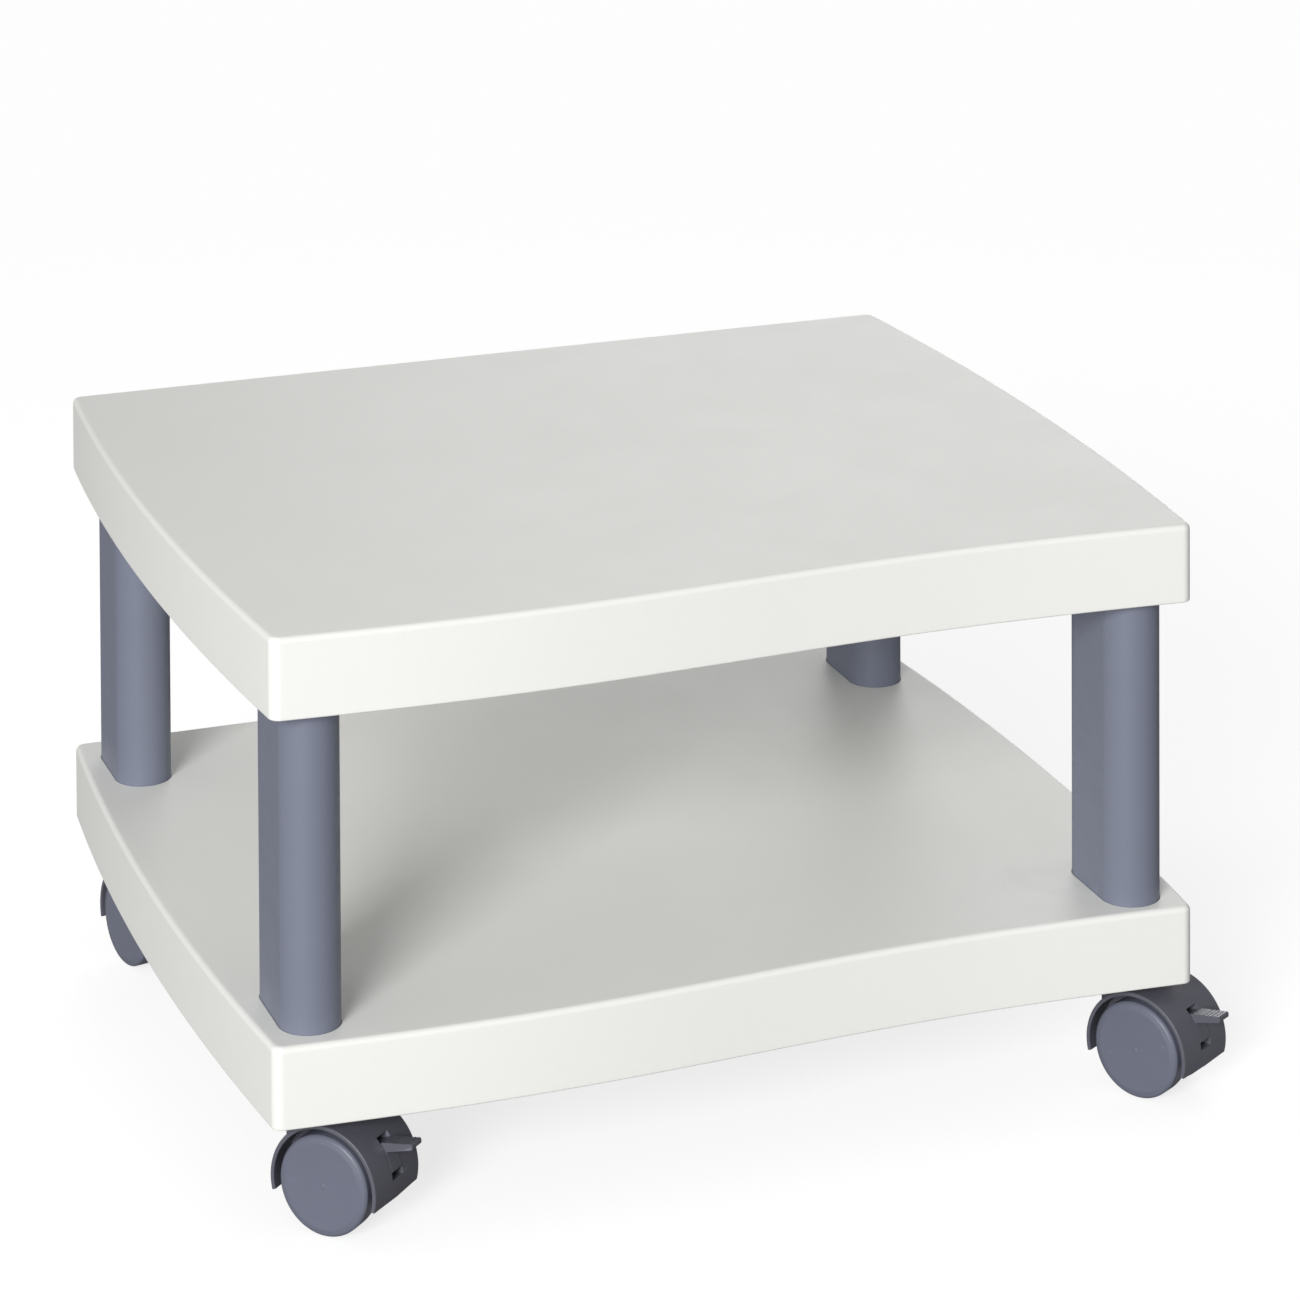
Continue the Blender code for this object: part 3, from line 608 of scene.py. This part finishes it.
def brake_lever():
    px, pz = BRAKE_PIVOT
    face = [(*polar(30.8, 11.5 + 16.5 * k / 8), 0) for k in range(9)]
    face[0] = (*face[0][:2], 0.9)
    outline = face + [
        (26.8, 16.0, 2.0), (40.6, 19.5, 1.2), (41.4, 20.1, 0.8), (41.45, 22.1, 1.0), (40.6, 22.65, 1.0), (24.8, 20.2, 4.0),
        (19.7, 18.2, 3.0), (12.5, 18.0, 3.0), (8.0, 16.4, 1.4), (7.2, 14.4, 1.4), (8.4, 12.6, 1.4), (14.0, 10.6, 3.0),
        (17.0, 8.4, 2.0), (21.0, 8.0, 2.0), (*polar(26.8, 11.5), 0.8)]
    body, shoe, hole, grips = bmesh.new(), bmesh.new(), bmesh.new(), bmesh.new()
    add_prism(body, [(x - px, z - pz) for x, z in rounded(outline, closed=True, n=5)], -LEVER_HALF, LEVER_HALF, plane="XZ")
    add_turned(shoe, [(0, -13), (1.6, -13), (1.6, 13), (0, 13)], 40, axis="Y",
               at=(BRAKE_SHOE[0] - px, 0, BRAKE_SHOE[1] - pz))
    add_turned(hole, [(0, -9), (1.8, -9), (1.8, 9), (0, 9)], 40, axis="Y")
    for k in range(4):      # shallow thumb grooves across the tongue
        x = 32.0 + 2.3 * k - px
        z = 21.32 + 0.357 * k - pz + 0.52
        add_turned(grips, [(0, -6), (0.75, -6), (0.75, 6), (0, 6)], 20, axis="Y", at=(x, 0, z))
    return carve(mesh_of(body, "lever"), [("+", shoe), ("-", hole), ("-", grips)])


def brake_pin():
    bm = bmesh.new()
    add_turned(bm, rounded([(0, -6.6, 0), (1.5, -6.6, 0.3), (1.5, 6.6, 0.3), (0, 6.6, 0)], n=3), 32, axis="Y")
    return mesh_of(bm, "pin")


# ------------------------------------------------------------------ assembly
piece("top_shelf_moulding", top_shelf(), SHELF, "stand", ["top_shelf"], at=(SX, 0, 0), bevel=0.3, angle=50)
piece("lower_shelf_moulding", lower_shelf(), SHELF, "stand", ["lower_shelf"], at=(SX, 0, 0), bevel=0.3, angle=50)
for w, (cx, cy) in COLUMNS.items():
    piece("column_tube_" + w, column(cx), COLUMN, "stand", ["column_" + w], at=(SX + cx, cy, 0), bevel=0.25)

for w in WHERE:
    p = Vector(JOINTS["swivel_" + w]["pos_m"]) / MM
    outer = JOINTS["spin_wheel_outer_" + w]
    across_axis = Vector(outer["axis"])
    heading = math.atan2(-across_axis.x, across_axis.y)
    braked = "press_brake_lever_" + w in JOINTS
    at = (p.x, p.y, 0)
    def local(u, y, z):
        c, s = math.cos(heading), math.sin(heading)
        return (p.x + u * c - y * s, p.y + u * s + y * c, z)
    hub = local(TRAIL, 0, WHEEL_R)
    piece("stem_socket_" + w, socket(), SOCKET, "stand", ["caster_socket_" + w], at=at)
    piece("swivel_stem_" + w, stem(), STEEL, "stand", ["caster_stem_" + w], at=at)
    piece("split_ring_" + w, grip_ring(), SPRING, "stand", ["grip_ring_" + w], at=at)
    body = "caster_" + w
    piece("hood_" + w, hood(braked), HOOD, body, ["caster_hood_" + w], at=at, turn=heading, bevel=0.35)
    piece("wheel_axle_" + w, axle(), STEEL, body, ["axle_" + w], at=hub, turn=heading)
    piece("disc_wheel_outer_" + w, wheel(), [WHEEL, TREAD], "wheel_outer_" + w, ["wheel_outer_" + w], at=hub, turn=heading)
    piece("disc_wheel_inner_" + w, wheel(), [WHEEL, TREAD], "wheel_inner_" + w, ["wheel_inner_" + w], at=hub, turn=heading + math.pi)
    if braked:
        pivot = local(TRAIL + BRAKE_PIVOT[0], 0, WHEEL_R + BRAKE_PIVOT[1])
        piece("lever_" + w, brake_lever(), HOOD, "brake_lever_" + w, ["brake_lever_" + w], at=pivot, turn=heading, bevel=0.4)
        piece("lever_pin_" + w, brake_pin(), STEEL, body, ["brake_pin_" + w], at=pivot, turn=heading)

# ------------------------------------------------------------------ stage
def floor():
    """Pale seamless floor: the eye sees it nearly white, the stand gets only a soft bounce from it."""
    t = Tree("floor_paper")
    t.bsdf.inputs["Roughness"].default_value = 0.9
    t.bsdf.inputs["Specular IOR Level"].default_value = 0.05
    t.bsdf.inputs["Base Color"].default_value = (0.36, 0.36, 0.36, 1)
    glow = t.node("ShaderNodeEmission")
    glow.inputs["Color"].default_value = (1, 1, 1, 1)
    glow.inputs["Strength"].default_value = FLOOR_LIFT
    seen = t.node("ShaderNodeAddShader")
    t.link(t.bsdf.outputs["BSDF"], seen.inputs[0])
    t.link(glow.outputs["Emission"], seen.inputs[1])
    white = t.node("ShaderNodeEmission")
    white.inputs["Color"].default_value = (1, 1, 1, 1)
    white.inputs["Strength"].default_value = 0.985
    geo = t.node("ShaderNodeNewGeometry")
    length = t.node("ShaderNodeVectorMath", operation="LENGTH")
    t.link(geo.outputs["Position"], length.inputs[0])
    fade = t.node("ShaderNodeMixShader")
    t.link(t.span(length.outputs["Value"], 0.55, 1.7, 0.0, 1.0), fade.inputs["Fac"])
    t.link(seen.outputs["Shader"], fade.inputs[1])
    t.link(white.outputs["Emission"], fade.inputs[2])
    bounce = t.node("ShaderNodeBsdfDiffuse")
    bounce.inputs["Color"].default_value = (FLOOR_BOUNCE, FLOOR_BOUNCE, FLOOR_BOUNCE, 1)
    rays = t.node("ShaderNodeLightPath")
    mix = t.node("ShaderNodeMixShader")
    t.link(rays.outputs["Is Camera Ray"], mix.inputs["Fac"])
    t.link(bounce.outputs["BSDF"], mix.inputs[1])
    t.link(fade.outputs["Shader"], mix.inputs[2])
    out = [n for n in t.t.nodes if n.type == "OUTPUT_MATERIAL"][0]
    t.link(mix.outputs["Shader"], out.inputs["Surface"])
    bm = bmesh.new()
    bmesh.ops.create_circle(bm, cap_ends=True, segments=96, radius=14.0)
    me = bpy.data.meshes.new("floor")
    bm.to_mesh(me)
    bm.free()
    me.materials.append(t.mat)
    obj = bpy.data.objects.new("floor", me)
    bpy.context.scene.collection.objects.link(obj)
    obj.location.z = -0.0003


FLOOR_LIFT, FLOOR_BOUNCE = 0.75, 0.36
floor()

scene = bpy.context.scene
scene.view_settings.view_transform = "Standard"
scene.view_settings.look = "None"
world = bpy.data.worlds.new("studio")
scene.world = world
world.use_nodes = True
sky = world.node_tree
ground = sky.nodes["Background"]
paths = sky.nodes.new("ShaderNodeLightPath")
level = sky.nodes.new("ShaderNodeMapRange")      # bright backdrop for the eye, softer as a light
level.inputs["To Min"].default_value = 0.34
level.inputs["To Max"].default_value = 0.985
sky.links.new(paths.outputs["Is Camera Ray"], level.inputs["Value"])
sky.links.new(level.outputs["Result"], ground.inputs["Strength"])
ground.inputs["Color"].default_value = (1.0, 1.0, 1.0, 1)


def area(name, azimuth, elevation, distance, size, power, colour=(1, 1, 1)):
    a, e = math.radians(azimuth), math.radians(elevation)
    d = Vector((math.sin(a) * math.cos(e), -math.cos(a) * math.cos(e), math.sin(e)))
    light = bpy.data.lights.new(name, "AREA")
    light.shape = "DISK"
    light.size = size
    light.energy = power
    light.color = colour
    obj = bpy.data.objects.new(name, light)
    bpy.context.scene.collection.objects.link(obj)
    obj.location = Vector((0, 0, 0.16)) + d * distance
    obj.rotation_euler = d.to_track_quat("Z", "Y").to_euler()
    return obj


area("key", -38.0, 19.5, 7.0, 2.9, 515.0)
area("rear", 150.0, 12.0, 6.0, 3.8, 120.0)

# ------------------------------------------------------------------ camera
cam = bpy.data.cameras.new("camera")
eye = bpy.data.objects.new("camera", cam)
scene.collection.objects.link(eye)
az, el, roll = math.radians(-19.87), math.radians(1.94), math.radians(-0.27)
back = Vector((math.sin(az) * math.cos(el), -math.cos(az) * math.cos(el), math.sin(el)))
right = Vector((0, 0, 1)).cross(back).normalized()
up = back.cross(right)
right, up = right * math.cos(roll) + up * math.sin(roll), up * math.cos(roll) - right * math.sin(roll)
CAM = Vector(((-818.6 + SX) * MM, -2339.3 * MM, 1062.2 * MM))
m = Matrix((right, up, back)).transposed().to_4x4()
m.translation = CAM
eye.matrix_world = m
cam.sensor_width = 36.0
cam.lens = 4573.6 / 1300.0 * 36.0
cam.clip_start, cam.clip_end = 0.05, 60.0
# The lens is shifted like a view camera's, so uprights stay upright; the shift only applies at this standpoint.
SHIFT = -1422.6 / 1300.0
drv = cam.driver_add("shift_y").driver
drv.type = "SCRIPTED"
for name, kind in (("x", "LOC_X"), ("z", "LOC_Z")):
    v = drv.variables.new()
    v.name = name
    v.type = "TRANSFORMS"
    v.targets[0].id = eye
    v.targets[0].transform_type = kind
    v.targets[0].transform_space = "WORLD_SPACE"
drv.expression = f"{SHIFT:.5f} if abs(z - {CAM.z:.4f}) + abs(x - ({CAM.x:.4f})) < 0.001 else 0.0"
scene.camera = eye
